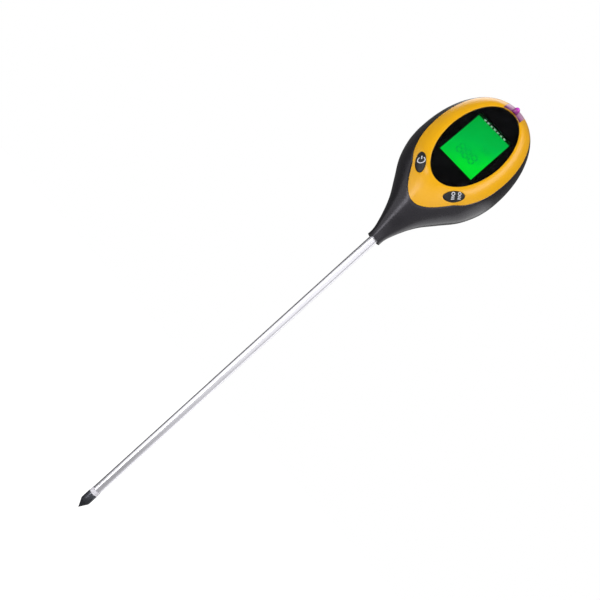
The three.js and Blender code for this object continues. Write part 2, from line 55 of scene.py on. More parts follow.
CAVITY_TURNS = {"back_steps": 40, "flank_steps": 18, "spacing": 2, "upper": 44}

# Face: a plane through (0, FACE_Y, FACE_Z), leaning back by TILT.
TILT = math.radians(14.3)
SIN, COS = math.sin(TILT), math.cos(TILT)
FACE_Y, FACE_Z = -4.2, 294.0
WINDOW = (18.05, 32.3)
FACET = (18.9, 33.2)
FACET_Z = 275.0
FACET_FADE = 0.006  # softens the ends of the flat
FLAT_Z, FLAT_RISE = 236.0, 20.0
PARTING = 5.5
PARTING_GAP = 0.2
COVER_EDGE, HOUSING_EDGE = 0.25, 0.4
GLASS_T, LENS_T = 1.0, 1.5
WINDOW_CLEAR = 0.06
LCD_X, LCD_BOTTOM, LCD_TOP = 12.2, -16.6, 17.1
LCD_FRONT, LCD_BACK = 2.6, 4.4
PIN_V, PIN_PITCH, PIN_COUNT = 18.1, 2.54, 7
PIN_HALF, PIN_THIN, PIN_BACK = 0.72, 0.16, 7.9

# Head profile: half-width, front, back and widest line by height.
POLE_Y, POLE_Z = 13.2, 332.3
NECK_Z = 217.2
CAVITY_Z = 236.4
BELLY_Z = 262.0
FLANK_POWER, BACK_POWER = 1.72, 2.5
DEPTH_INSIDE, DEPTH_BEHIND, DEPTH_BEFORE = 14.0, 45.0, -6.0  # bounds on the skin's depth
SKIN_HALVINGS, SEAM_HALVINGS = 26, 24
SEAM_V, SEAM_NEAR, SEAM_FAR = -3.0, 5.0, 60.0  # the seam lies between these reaches from (0, SEAM_V)

# Probe.
TIP_R, CONE_H, TIP_TOP = 2.85, 5.0, 10.9
RING_R, RING_TOP = 2.75, 13.5
TUBE_R, TUBE_BORE, TUBE_TOP = 2.6, 2.1, 243.0
TUBE_CLEAR = 0.12
LEAD_BORE, BEAD_WELL, SOCKET_R, SOCKET_FOOT = 1.15, 3.9, 2.1, 6.1
SPIGOT_R, SPIGOT_FOOT, SPIGOT_TOP = 1.8, 6.4, 22.0

# Buttons, light sensor and its window.
BUTTON_X, BUTTON_V, BUTTON_LEAN = 13.1, -30.9, math.radians(40)
BUTTON_SHORT, BUTTON_LONG = 2.45, 6.2
BUTTON_FLOOR = 4.8
BUTTON_PROUD, BUTTON_SUNK = 0.85, 0.15
BUTTON_CLEAR = 0.12
FLANGE_T, FLANGE_W = 0.6, 1.0
STROKE = [(-0.5, 0.25), (-0.5, -0.015), (-0.4, -0.05), (0.4, -0.05), (0.5, -0.015), (0.5, 0.25)]
SENSOR = {"x": 0.2, "v": 34.6, "depth": -0.9, "r": 1.9, "tail": 2.0, "lean": math.radians(60)}
LIGHT_WINDOW_X, LIGHT_WINDOW_V = 6.3, 26.0

# Back: battery bay, door, hinge and screws.
BAY = {"x": 13.9, "bottom": -33.6, "top": 27.6, "wall": 1.2, "floor": 11.5, "front": 12.5}
BATTERY = {"x": 13.25, "bottom": -33.0, "length": 48.5, "front": 12.8, "depth": 17.5}
DOOR = {"x": 15.4, "bottom": -33.8, "top": 28.6, "corner": 4.0, "inset": 1.9}
RIBS, RIB_V, RIB_PITCH = 6, 16.5, 1.7
HINGE_V, HINGE_R, HINGE_HALF = -35.0, 1.0, 5.5
STUB_R, STUB_L = 0.6, 1.2
SCREWS = [(-20.0, 8.0), (20.0, 8.0), (-19.4, -11.0), (19.4, -11.0)]
SCREW_HEAD_R, SCREW_SEAT, SCREW_HEAD_T, SCREW_SHANK_R, SCREW_TIP = 1.9, 14.6, 1.6, 1.0, 6.5
SCREW_DOME = 0.9
BOSS_R, BOSS_JOINT = 2.7, 10.6

# Camera and studio.
VIEW_TARGET, VIEW_DISTANCE = (-2.4, 0, 164.3), 415.0
VIEW_AZIMUTH, VIEW_ELEVATION, VIEW_ROLL = 5.53, -2.77, 47.83
LENS, SENSOR_WIDTH = 45.1, 36.0
FLOOR_Z, FLOOR_REACH = -600.0, 6000
WORLD_GLOW = 0.14
LIGHTS = [  # name, place, target, (width, height), brightness
    ("left_wall", (-0.75, -0.4, 0.06), (0, 0, 0.06), (0.85, 0.6), 1.08),
    ("left_strip", (-0.42, -0.72, 0.05), (0, 0, 0.05), (0.26, 0.66), 5.0),
    ("centre", (0.02, -0.86, 0.32), (0, 0, 0.32), (0.7, 0.44), 1.1),
    ("centre_waist", (0.02, -0.86, 0.0), (0, 0, 0.0), (0.7, 0.2), 0.75),
    ("centre_foot", (0.02, -0.86, -0.28), (0, 0, -0.28), (0.7, 0.36), 0.28),
    ("right_wall", (0.59, -0.62, 0.27), (0, 0, 0.27), (0.66, 0.34), 1.05),
    ("right_waist", (0.59, -0.62, 0.0), (0, 0, 0.0), (0.66, 0.2), 0.58),
    ("right_foot", (0.59, -0.62, -0.28), (0, 0, -0.28), (0.66, 0.36), 0.3),
    ("right_soft", (0.6, -0.6, 0.7), (0, 0, 0.28), (0.38, 0.4), 4.4),
    ("right_side", (0.84, -0.14, 0.1), (0, 0, 0.1), (0.5, 0.8), 0.55),
    ("right_back", (0.67, 0.53, 0.1), (0, 0, 0.1), (0.85, 0.8), 1.2),
    ("high", (0.45, -0.4, 1.08), (0, 0, 0.29), (0.5, 0.5), 3.3),
    ("high_back", (-0.4, 0.45, 0.95), (0, 0, 0.3), (0.5, 0.5), 2.5),
]


# ---------------------------------------------------------------- the head's surface

def curve(stations):
    """A smooth function through stations (height, value), flat beyond both ends."""
    heights, values = np.array(stations, float).T
    slopes = np.zeros_like(values)
    slopes[1:-1] = (values[2:] - values[:-2]) / (heights[2:] - heights[:-2])

    def value(z):
        z = np.clip(z, heights[0], heights[-1])
        k = np.clip(np.searchsorted(heights, z, side="right") - 1, 0, len(heights) - 2)
        h = heights[k + 1] - heights[k]
        u = (z - heights[k]) / h
        w = 1 - u
        rise = values[k] * (1 + 2 * u) * w * w + values[k + 1] * u * u * (3 - 2 * u)
        return rise + h * u * w * (slopes[k] * w - slopes[k + 1] * u)

    return value


HALF_WIDTH = curve([(219, 4.4), (228, 6.5), (240, 11.6), (250.5, 18.3), (261, 25.1), (271.5, 29.2),
                    (280, 30.8), (287, 31.1)])
FRONT = curve([(219, -4.4), (227, -5.7), (236, -8.5), (245, -11.1), (251, -12.4), (257, -12.75),
               (263, -12.1), (275, -9.04), (290, -5.22)])
BACK = curve([(219, 4.4), (228, 6.7), (238, 12), (250, 20.5), (262, 27.2), (274, 31.2), (288, 32.8)])
EQUATOR = curve([(219, 0), (235, 0.6), (250, 3.6), (268, 8.8), (287, 12.8), (302, 14.2), (318, 14),
                 (POLE_Z, POLE_Y)])


def closing(z, start, power, pole):
    """How far a profile has closed towards the top: 1 below start, 0 at the pole."""
    u = np.clip((z - start) / (pole - start), 0, 1)
    return (1 - u ** power) ** (1 / power)


def head_section(z, inset=0.0):
    """The horizontal section at height z: half-width, front, back, widest line, flat and two powers."""
    z = np.asarray(z, float)
    pole = POLE_Z - inset
    half = (HALF_WIDTH(z) - inset) * closing(z, 287, 2.1, pole)
    plane = FACE_Y + (z - FACE_Z) * math.tan(TILT)
    open_front = np.where(z < FACET_Z, FRONT(z), plane) + inset
    front = POLE_Y - (POLE_Y - open_front) * closing(z, 324, 1.7, pole)
    back = POLE_Y + (BACK(z) - inset - POLE_Y) * closing(z, 288, 2.3, pole)
    span = 1 - ((z - FACE_Z) / COS / FACET[1]) ** 2
    facet = FACET[0] * np.sqrt((span + np.sqrt(span ** 2 + FACET_FADE)) / 2)
    room = half / 5 + (half - 2 - half / 5) * np.clip((z - FLAT_Z) / FLAT_RISE, 0, 1)
    flat = np.minimum(facet, room)
    t = np.clip((z - 225) / (BELLY_Z - 225), 0, 1)
    square = t * t * (3 - 2 * t)
    return half, front, back, EQUATOR(z), flat, 2 + (FLANK_POWER - 2) * square, 2 + (BACK_POWER - 2) * square


def on_face(x, v, depth):
    """Face coordinates to points in the object's frame."""
    x, v, depth = np.broadcast_arrays(np.asarray(x, float), v, depth)
    return np.stack([x, FACE_Y + v * SIN + depth * COS, FACE_Z + v * COS - depth * SIN], axis=-1)


def sensor_place(points):
    """Points about the sensor's own axis to the object's frame."""
    rise = math.pi / 2 - SENSOR["lean"]
    x, y, h = np.moveaxis(points, -1, 0)
    v = SENSOR["v"] + y * math.sin(rise) + h * math.cos(rise)
    return on_face(SENSOR["x"] + x, v, SENSOR["depth"] + y * math.cos(rise) - h * math.sin(rise))


def skin_depth(x, v, back=False):
    """The depth at which the outer surface lies under face points (x, v)."""
    x, v = np.asarray(x, float), np.asarray(v, float)
    inside = np.full(x.shape, DEPTH_INSIDE)
    outside = np.full(x.shape, DEPTH_BEHIND if back else DEPTH_BEFORE)
    for _ in range(SKIN_HALVINGS):
        middle = (inside + outside) / 2
        _, y, z = np.moveaxis(on_face(x, v, middle), -1, 0)
        half, front, rear, equator, flat, flank_power, back_power = head_section(z)
        if back:
            u = np.clip(np.abs(x) / half, 0, 1)
            within = y < equator + (rear - equator) * (1 - u ** back_power) ** (1 / back_power)
        else:
            u = np.clip((np.abs(x) - flat) / (half - flat), 0, 1)
            within = y > equator + (front - equator) * (1 - u ** flank_power) ** (1 / flank_power)
        inside = np.where(within, middle, inside)
        outside = np.where(within, outside, middle)
    return (inside + outside) / 2


def back_skin(x, v):
    return skin_depth(x, v, back=True)


# ---------------------------------------------------------------- mesh making

def new_object(name, vertices, faces):
    mesh = bpy.data.meshes.new(name)
    mesh.from_pydata([tuple(p) for p in np.asarray(vertices) * MM], [], faces)
    obj = bpy.data.objects.new(name, mesh)
    bpy.context.scene.collection.objects.link(obj)
    work = bmesh.new()
    work.from_mesh(mesh)
    bmesh.ops.recalc_face_normals(work, faces=work.faces)
    work.to_mesh(mesh)
    work.free()
    return obj


def loft(name, rings, closed=False):
    """A skin over rings of points: capped at both ends, or joined end to end."""
    count = len(rings[0])
    vertices = np.concatenate(rings)
    faces = []
    for r in range(len(rings) - (0 if closed else 1)):
        low, high = r * count, ((r + 1) % len(rings)) * count
        faces += [(low + i, low + (i + 1) % count, high + (i + 1) % count, high + i) for i in range(count)]
    if not closed:
        last = (len(rings) - 1) * count
        vertices = np.concatenate([vertices, [rings[0].mean(axis=0), rings[-1].mean(axis=0)]])
        foot, top = len(vertices) - 2, len(vertices) - 1
        faces += [(foot, (i + 1) % count, i) for i in range(count)]
        faces += [(top, last + i, last + (i + 1) % count) for i in range(count)]
    return new_object(name, vertices, faces)


def face_loft(name, rows):
    """A solid whose sections are face outlines, each with its depths, from the outside inward."""
    return loft(name, [on_face(points[:, 0], points[:, 1], depth) for points, depth in rows])


def turned(name, profile, sides=96, place=lambda p: p):
    """A profile of (radius, height) turned about an axis. One that starts off the axis closes on itself."""
    angles = np.linspace(0, 2 * math.pi, sides, endpoint=False)
    hollow = profile[0][0] > 0
    kept = profile if hollow else [p for p in profile if p[0] > 0]
    rings = []
    for r, h in kept:
        rings.append(place(np.stack([r * np.cos(angles), r * np.sin(angles), np.full(sides, h)], -1)))
    solid = loft(name, rings, closed=hollow)
    if not hollow:
        ends = place(np.array([[0, 0, profile[0][1]], [0, 0, profile[-1][1]]], float)) * MM
        solid.data.vertices[-2].co = ends[0]
        solid.data.vertices[-1].co = ends[1]
    return solid


def combine(target, tool, operation="DIFFERENCE", keep_tool=False):
    """Cuts, joins or intersects target with tool."""
    modifier = target.modifiers.new("combine", "BOOLEAN")
    modifier.object = tool
    modifier.operation = operation
    modifier.solver = "MANIFOLD"
    result = bpy.data.meshes.new_from_object(target.evaluated_get(bpy.context.evaluated_depsgraph_get()))
    target.modifiers.clear()
    target.data = result
    if not keep_tool:
        bpy.data.objects.remove(tool)
    return target


def copy_of(obj, name):
    twin = obj.copy()
    twin.data = obj.data.copy()
    twin.name = name
    bpy.context.scene.collection.objects.link(twin)
    return twin


def smooth(obj, angle=32):
    obj.data.shade_smooth()
    obj.data.set_sharp_from_angle(angle=math.radians(angle))
    return obj


def oval(rx, rv, x=0.0, v=0.0, lean=0.0, count=96):
    """An ellipse's points, anticlockwise, its long axis leaning clockwise from v by lean."""
    t = np.linspace(0, 2 * math.pi, count, endpoint=False)
    a, b = rx * np.cos(t), rv * np.sin(t)
    cos, sin = math.cos(lean), math.sin(lean)
    return np.stack([x + a * cos + b * sin, v - a * sin + b * cos], -1)


def rounded_box(x0, x1, v0, v1, radius, arc=8, side=24):
    """A rectangle with round corners, anticlockwise, with points along its sides too."""
    points = []
    corners = [(x1 - radius, v0 + radius, -90), (x1 - radius, v1 - radius, 0),
               (x0 + radius, v1 - radius, 90), (x0 + radius, v0 + radius, 180)]
    for k, (cx, cv, start) in enumerate(corners):
        angles = np.radians(start + np.linspace(0, 90, arc + 1))
        points += list(np.stack([cx + radius * np.cos(angles), cv + radius * np.sin(angles)], -1))
        nx, nv, turn = corners[(k + 1) % 4]
        heading = math.radians(turn)
        goal = np.array([nx + radius * math.cos(heading), nv + radius * math.sin(heading)])
        points += [points[-1] + (goal - points[-1]) * s for s in np.linspace(0, 1, side + 1)[1:-1]]
    return np.array(points)


def grown(points, amount):
    tangent = np.roll(points, -1, axis=0) - np.roll(points, 1, axis=0)
    normal = np.stack([tangent[:, 1], -tangent[:, 0]], -1)
    return points + amount * normal / np.linalg.norm(normal, axis=1, keepdims=True)


def skin_rows(outline, profile, skin):
    """Rows that follow the surface: each is the outline grown, at an offset in depth from the skin."""
    rows = []
    for grow, offset in profile:
        points = grown(outline, grow)
        rows.append((points, skin(points[:, 0], points[:, 1]) + offset))
    return rows


def prism(name, outline, depth0, depth1):
    return face_loft(name, [(outline, depth0), (outline, depth1)])


def face_pin(name, radius, x, v, depth0, depth1, count=40):
    return prism(name, oval(radius, radius, x, v, count=count), depth0, depth1)


def across_pin(name, radius, x0, x1, depth, v=HINGE_V, count=40):
    """A round pin along X at a place on the face."""
    t = np.linspace(0, 2 * math.pi, count, endpoint=False)
    rim = [on_face(x, v + radius * np.sin(t), depth + radius * np.cos(t)) for x in (x0, x1)]
    return loft(name, rim)


def head_ring(z, inset, back_steps, flank_steps):
    half, front, back, equator, flat, flank_power, back_power = head_section(z, inset)
    t = np.linspace(0, math.pi, back_steps, endpoint=False)
    c, s = np.cos(t), np.abs(np.sin(t))
    x = half * np.sign(c) * np.abs(c) ** (2 / back_power)
    y = equator + (back - equator) * s ** (2 / back_power)
    q = np.linspace(0, math.pi / 2, flank_steps + 1)
    flank_x = flat + (half - flat) * np.cos(q) ** (2 / flank_power)
    flank_y = equator + (front - equator) * np.sin(q) ** (2 / flank_power)
    xs = np.concatenate([x, -flank_x, flank_x[:0:-1]])
    ys = np.concatenate([y, flank_y, flank_y[:0:-1]])
    return np.stack([xs, ys, np.full(xs.shape, float(z))], -1)


def head_body(name, inset, bottom, back_steps, flank_steps, spacing, upper):
    """The whole head drawn in by inset, from height bottom to the pole."""
    lower = max(2, round((BELLY_Z - bottom) / spacing))
    heights = list(np.linspace(bottom, BELLY_Z, lower, endpoint=False))
    rise = np.sin(np.linspace(0, 0.992, upper) * math.pi / 2)
    heights += list(BELLY_Z + (POLE_Z - inset - 0.01 - BELLY_Z) * rise / rise[-1])
    return loft(name, [head_ring(z, inset, back_steps, flank_steps) for z in heights])


def cavity_body(name, inset=WALL):
    return head_body(name, inset, CAVITY_Z, **CAVITY_TURNS)


def parting_outline(depth, count=220):
    """Where a plane at this depth meets the head, as face points round the middle of the face."""
    angles = np.linspace(0, 2 * math.pi, count, endpoint=False)
    inner, outer = np.full(count, SEAM_NEAR), np.full(count, SEAM_FAR)
    for _ in range(SEAM_HALVINGS):
        reach = (inner + outer) / 2
        deeper = skin_depth(reach * np.sin(angles), SEAM_V + reach * np.cos(angles)) > depth
        outer = np.where(deeper, reach, outer)
        inner = np.where(deeper, inner, reach)
    return np.stack([inner * np.sin(angles), SEAM_V + inner * np.cos(angles)], -1)[::-1]


# ---------------------------------------------------------------- materials

def shader(name, colour, roughness, **sockets):
    """A Principled material; colour and roughness sit on the shader's own sockets."""
    material = bpy.data.materials.new(name)
    material.use_nodes = True
    bsdf = material.node_tree.nodes["Principled BSDF"]
    bsdf.inputs["Base Color"].default_value = (*colour, 1)
    bsdf.inputs["Roughness"].default_value = roughness
    for socket, value in sockets.items():
        bsdf.inputs[socket.replace("_", " ")].default_value = value
    return material


def parts_of(material):
    tree = material.node_tree
    return tree.nodes, tree.links, tree.nodes["Principled BSDF"]


def noise(material, scale, detail=3.0, stretch=(1, 1, 1)):
    """A noise pattern fixed to the object, scale per metre."""
    nodes, links, _ = parts_of(material)
    place = nodes.new("ShaderNodeTexCoord")
    mapping = nodes.new("ShaderNodeMapping")
    mapping.inputs["Scale"].default_value = stretch
    texture = nodes.new("ShaderNodeTexNoise")
    texture.inputs["Scale"].default_value = scale
    texture.inputs["Detail"].default_value = detail
    links.new(place.outputs["Object"], mapping.inputs["Vector"])
    links.new(mapping.outputs["Vector"], texture.inputs["Vector"])
    return texture.outputs["Fac"]


def grain(material, scale, depth, strength=1.0, stretch=(1, 1, 1)):
    """Fine surface relief, depth in metres."""
    nodes, links, bsdf = parts_of(material)
    bump = nodes.new("ShaderNodeBump")
    bump.inputs["Strength"].default_value = strength
    bump.inputs["Distance"].default_value = depth
    links.new(noise(material, scale, stretch=stretch), bump.inputs["Height"])
    links.new(bump.outputs["Normal"], bsdf.inputs["Normal"])
    return material


def spread(material, socket, low, high, scale, stretch=(1, 1, 1)):
    """Varies a number socket between low and high over the surface."""
    nodes, links, bsdf = parts_of(material)
    ramp = nodes.new("ShaderNodeMapRange")
    ramp.inputs["From Min"].default_value = 0.3
    ramp.inputs["From Max"].default_value = 0.7
    ramp.inputs["To Min"].default_value = low
    ramp.inputs["To Max"].default_value = high
    links.new(noise(material, scale, stretch=stretch), ramp.inputs["Value"])
    links.new(ramp.outputs["Result"], bsdf.inputs[socket])
    return material


def mottle(material, light, dark, scale, stretch=(1, 1, 1)):
    """Varies the base colour between two close shades."""
    nodes, links, bsdf = parts_of(material)
    ramp = nodes.new("ShaderNodeValToRGB")
    ramp.color_ramp.elements[0].position = 0.35
    ramp.color_ramp.elements[1].position = 0.65
    ramp.color_ramp.elements[0].color = (*dark, 1)
    ramp.color_ramp.elements[1].color = (*light, 1)
    links.new(noise(material, scale, stretch=stretch), ramp.inputs["Fac"])
    links.new(ramp.outputs["Color"], bsdf.inputs["Base Color"])
    return material


def black_plastic():
    material = shader("black_plastic", (0.01, 0.009, 0.0115), 0.28, Specular_Tint=(0.93, 0.9, 1, 1))
    mottle(material, (0.011, 0.01, 0.0125), (0.009, 0.0082, 0.0105), 260)
    spread(material, "Roughness", 0.25, 0.32, 500)
    return grain(material, 5200, 0.00002, 0.3)


def yellow_plastic():
    material = shader("yellow_plastic", (0.9, 0.44, 0.002), 0.31, Specular_IOR_Level=0.45)
    mottle(material, (0.91, 0.45, 0.003), (0.89, 0.435, 0.002), 120)
    spread(material, "Roughness", 0.28, 0.34, 420)
    return grain(material, 4200, 0.00002, 0.2)


def button_rubber():
    material = shader("button_rubber", (0.013, 0.013, 0.015), 0.5, Specular_IOR_Level=0.4)
    mottle(material, (0.015, 0.015, 0.018), (0.011, 0.011, 0.013), 900)
    spread(material, "Roughness", 0.42, 0.6, 1400)
    return grain(material, 7000, 0.00003, 0.5)


def mark_paint():
    material = shader("mark_paint", (0.78, 0.78, 0.84), 0.45)
    spread(material, "Roughness", 0.38, 0.55, 3000)
    return mottle(material, (0.82, 0.82, 0.88), (0.7, 0.7, 0.77), 1800)


def window_glass():
    material = shader("window_glass", (1, 1, 1), 0.0, Transmission_Weight=1.0, IOR=1.15)
    return mottle(material, (1, 1, 1), (0.97, 0.98, 0.98), 60)


def window_print():
    material = shader("window_print", (0.003, 0.003, 0.0035), 0.25, Specular_IOR_Level=0.03)
    spread(material, "Roughness", 0.2, 0.3, 700)
    return mottle(material, (0.0033, 0.0033, 0.004), (0.0025, 0.0025, 0.003), 300)


def axis_gradient(material, start, end):
    """0 at one point of the object, 1 at another, in between along the line joining them."""
    nodes, links, _ = parts_of(material)
    place = nodes.new("ShaderNodeTexCoord")
    a, b = (Vector(point.tolist()) * MM for point in (start, end))
    offset = nodes.new("ShaderNodeVectorMath")
    offset.operation = "SUBTRACT"
    offset.inputs[1].default_value = a
    along = nodes.new("ShaderNodeVectorMath")
    along.operation = "DOT_PRODUCT"
    along.inputs[1].default_value = (b - a) / (b - a).length_squared
    links.new(place.outputs["Object"], offset.inputs[0])
    links.new(offset.outputs["Vector"], along.inputs[0])
    return along.outputs["Value"]


def blend(material, amount, shades):
    """The base colour from a ramp of (position, colour) driven by amount."""
    nodes, links, bsdf = parts_of(material)
    ramp = nodes.new("ShaderNodeValToRGB")
    stops = ramp.color_ramp.elements
    stops[0].position, stops[1].position = shades[0][0], shades[-1][0]
    stops[0].color, stops[-1].color = (*shades[0][1], 1), (*shades[-1][1], 1)
    for position, colour in shades[1:-1]:
        stops.new(position).color = (*colour, 1)
    links.new(amount, ramp.inputs["Fac"])
    links.new(ramp.outputs["Color"], bsdf.inputs["Base Color"])
    return material


def lcd_green():
    """Lit green glass, brighter towards its lower right, with a cloudy light guide behind."""
    material = shader("lcd_green", (0.0, 0.02, 0.01), 0.25, Emission_Strength=1.0, Specular_IOR_Level=0.03)
    nodes, links, bsdf = parts_of(material)
    cloud = nodes.new("ShaderNodeMath")
    cloud.operation = "MULTIPLY_ADD"
    cloud.inputs[1].default_value = 0.35
    links.new(noise(material, 160, detail=4), cloud.inputs[0])
    links.new(axis_gradient(material, on_face(-10, 18, 3), on_face(14, -15, 3)), cloud.inputs[2])
    ramp = nodes.new("ShaderNodeValToRGB")
    ramp.color_ramp.elements[0].color = (0.0, 0.39, 0.035, 1)
    ramp.color_ramp.elements[0].position = 0.3
    ramp.color_ramp.elements[1].color = (0.0, 0.72, 0.02, 1)
    ramp.color_ramp.elements[1].position = 1.0
    middle = ramp.color_ramp.elements.new(0.62)
    middle.color = (0.0, 0.48, 0.05, 1)
    links.new(cloud.outputs["Value"], ramp.inputs["Fac"])
    links.new(ramp.outputs["Color"], bsdf.inputs["Emission Color"])
    return material


def ghost_green():
    """Digits that are off: barely darker than the lit glass."""
    material = shader("ghost_green", (0.0, 0.02, 0.01), 0.3, Emission_Strength=1.0, Specular_IOR_Level=0.03)
    material.node_tree.nodes["Principled BSDF"].inputs["Emission Color"].default_value = (0.0, 0.33, 0.05, 1)
    return spread(material, "Roughness", 0.25, 0.4, 900)


def violet_resin():
    """Deep magenta at the foot and bright violet at the round nose: painted shade on the foot where it sits
    in its hole, painted light on the nose.
    """
    material = shader("violet_resin", (0.6, 0.03, 0.6), 0.08, Coat_Weight=0.6, Coat_Roughness=0.04)
    foot, nose = sensor_place(np.array([[0.0, 0, -1.0], [0, 0, 2.0]]))
    # painted shade at the foot, painted light towards the nose
    shades = [(0.1, (0.25, 0.0, 0.2)), (0.5, (0.58, 0.02, 0.5)), (0.9, (0.8, 0.12, 0.85))]
    return blend(material, axis_gradient(material, foot, nose), shades)


def lilac_plastic():
    """Cloudy lilac, with painted shade darkening it beside the display window."""
    material = shader("lilac_plastic", (0.6, 0.3, 0.5), 0.3)
    low, high = on_face(0, 32.0, 0), on_face(0, 36.0, 0)
    # the dark stops beside the window are painted shade at the join
    shades = [(0.0, (0.1, 0.02, 0.12)), (0.4, (0.42, 0.15, 0.36)), (1.0, (0.62, 0.34, 0.52))]
    return blend(material, axis_gradient(material, low, high), shades)


def metal(name, colour, low, high, scale=700, stretch=(1, 1, 1), relief=0.0):
    material = shader(name, colour, (low + high) / 2, Metallic=1.0)
    spread(material, "Roughness", low, high, scale, stretch)
    mottle(material, tuple(min(1, c * 1.06) for c in colour), tuple(c * 0.92 for c in colour), scale, stretch)
    return grain(material, scale * 2, relief, 0.3, stretch) if relief else material


def plain_plastic(name, colour, roughness, scale=900):
    material = shader(name, colour, roughness)
    spread(material, "Roughness", roughness * 0.85, min(1, roughness * 1.15), scale)
    return mottle(material, tuple(min(1, c * 1.08) for c in colour), tuple(c * 0.9 for c in colour), scale)


def floor_paper():
    """Bright white paper, so that floor and surround meet without a line."""
    material = shader("floor_paper", (0.9, 0.9, 0.9), 0.9, Emission_Strength=1.0)
    material.node_tree.nodes["Principled BSDF"].inputs["Emission Color"].default_value = (1, 1, 1, 1)
    return spread(material, "Roughness", 0.85, 0.95, 4)


def board_material():
    """Solder mask with faint copper tracks under it."""
    material = plain_plastic("board_green", (0.015, 0.13, 0.045), 0.35)
    nodes, links, bsdf = parts_of(material)
    place = nodes.new("ShaderNodeTexCoord")
    tracks = nodes.new("ShaderNodeTexBrick")
    tracks.inputs["Scale"].default_value = 220
    tracks.inputs["Color1"].default_value = (0.012, 0.11, 0.04, 1)
    tracks.inputs["Color2"].default_value = (0.016, 0.14, 0.05, 1)
    tracks.inputs["Mortar"].default_value = (0.04, 0.24, 0.08, 1)
    links.new(place.outputs["Object"], tracks.inputs["Vector"])
    links.new(tracks.outputs["Color"], bsdf.inputs["Base Color"])
    return material


LOOKS = {
    "shell_black": black_plastic(),
    "cover_yellow": yellow_plastic(),
    "button_rubber": button_rubber(),
    "lens_clear": window_glass(),
    "mask_black": window_print(),
    "lcd_green": lcd_green(),
    "diffuser_white": plain_plastic("diffuser_white", (0.6, 0.75, 0.6), 0.5),
    "pin_metal": plain_plastic("pin_tin", (0.62, 0.82, 0.74), 0.4, 2500),
    "board_green": board_material(),
    "chip_black": plain_plastic("chip_black", (0.012, 0.012, 0.012), 0.3),
    "pill_black": plain_plastic("pill_black", (0.02, 0.02, 0.02), 0.7),
    "pad_gold": metal("pad_gold", (0.8, 0.55, 0.2), 0.2, 0.35),
    "sensor_violet": violet_resin(),
    "insert_lilac": lilac_plastic(),
    "tube_metal": metal("tube_metal", (0.8, 0.79, 0.84), 0.2, 0.28, 2600, (1, 1, 0.02)),
    "tip_metal": metal("tip_metal", (0.15, 0.155, 0.18), 0.26, 0.36, 1400, (1, 1, 0.3)),
    "ring_white": plain_plastic("ring_white", (0.78, 0.76, 0.82), 0.45),
    "bead_black": plain_plastic("bead_black", (0.02, 0.02, 0.02), 0.4),
    "collar_brass": metal("collar_brass", (0.75, 0.53, 0.22), 0.2, 0.35, 1200),
    "battery_case": metal("battery_case", (0.16, 0.17, 0.2), 0.25, 0.38, 900),
    "terminal_metal": metal("terminal_metal", (0.72, 0.72, 0.72), 0.2, 0.35),
    "snap_black": plain_plastic("snap_black", (0.02, 0.02, 0.022), 0.5),
    "wire_red": plain_plastic("wire_red", (0.5, 0.015, 0.015), 0.4),
    "wire_black": plain_plastic("wire_black", (0.018, 0.018, 0.018), 0.4),
    "screw_steel": metal("screw_steel", (0.55, 0.55, 0.56), 0.22, 0.4, 1600),
}
NODE_SLOT = {row["node"]: row["material_slot"] for row in frame["record"]["subparts"]}
NODE_BODY = {n: body for body, members in frame["record"]["behaviour"]["bodies"].items() for n in members}


def dress(obj, slot):
    obj.data.materials.clear()
    obj.data.materials.append(LOOKS[slot])


def stand_for(piece, node, look=None):
    """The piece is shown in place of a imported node, on its body and with its finish."""
    dress(piece, look or NODE_SLOT[node])
    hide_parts(node)
    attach(piece, NODE_BODY[node])
    return piece


# ---------------------------------------------------------------- the two shells

def cover_keeper():
    """Everything in front of the parting plane, its edge rounded where it meets the skin."""
    edge = PARTING - PARTING_GAP / 2
    rim, shoulder = parting_outline(edge), parting_outline(edge - COVER_EDGE)
    rows = [(rim * 6, -40), (rim * 6, edge - COVER_EDGE - 0.02), (grown(shoulder, 0.03), edge - COVER_EDGE)]
    rows += [(grown(rim, -0.06), edge - 0.14), (grown(rim, -0.14), edge - 0.05), (grown(rim, -0.24), edge)]
    return face_loft("cover_keeper", rows)


def housing_keeper():
    """Everything behind the parting plane, with a larger rounded edge."""
    edge = PARTING + PARTING_GAP / 2
    rim, shoulder = parting_outline(edge), parting_outline(edge + HOUSING_EDGE)
    rows = [(grown(rim, -0.4), edge), (grown(rim, -0.2), edge + 0.07), (grown(rim, 0.0), edge + 0.2)]
    rows += [(grown(shoulder, 0.03), edge + HOUSING_EDGE), (rim * 6, edge + HOUSING_EDGE + 0.02)]
    rows.append((rim * 6, 3 * FAR))
    return face_loft("housing_keeper", rows)


def button_outline(side, grow):
    return oval(BUTTON_SHORT + grow, BUTTON_LONG + grow, side * BUTTON_X, BUTTON_V, side * BUTTON_LEAN)


def sensor_hole(name):
    r, foot = SENSOR["r"] + 0.15, -SENSOR["tail"] - GAP
    return turned(name, [(0, foot), (r, foot), (r, 8), (0, 8)], 48, sensor_place)


def light_window_region(name, grow):
    across = LIGHT_WINDOW_X + grow
    region = prism(name, rounded_box(-across, across, LIGHT_WINDOW_V, FAR, 0.5, 2, 12), -40, PARTING + 1)
    core = oval(WINDOW[0] + 0.4 - grow, WINDOW[1] + 0.4 - grow)
    return combine(region, prism("window_core", core, -50, 50))


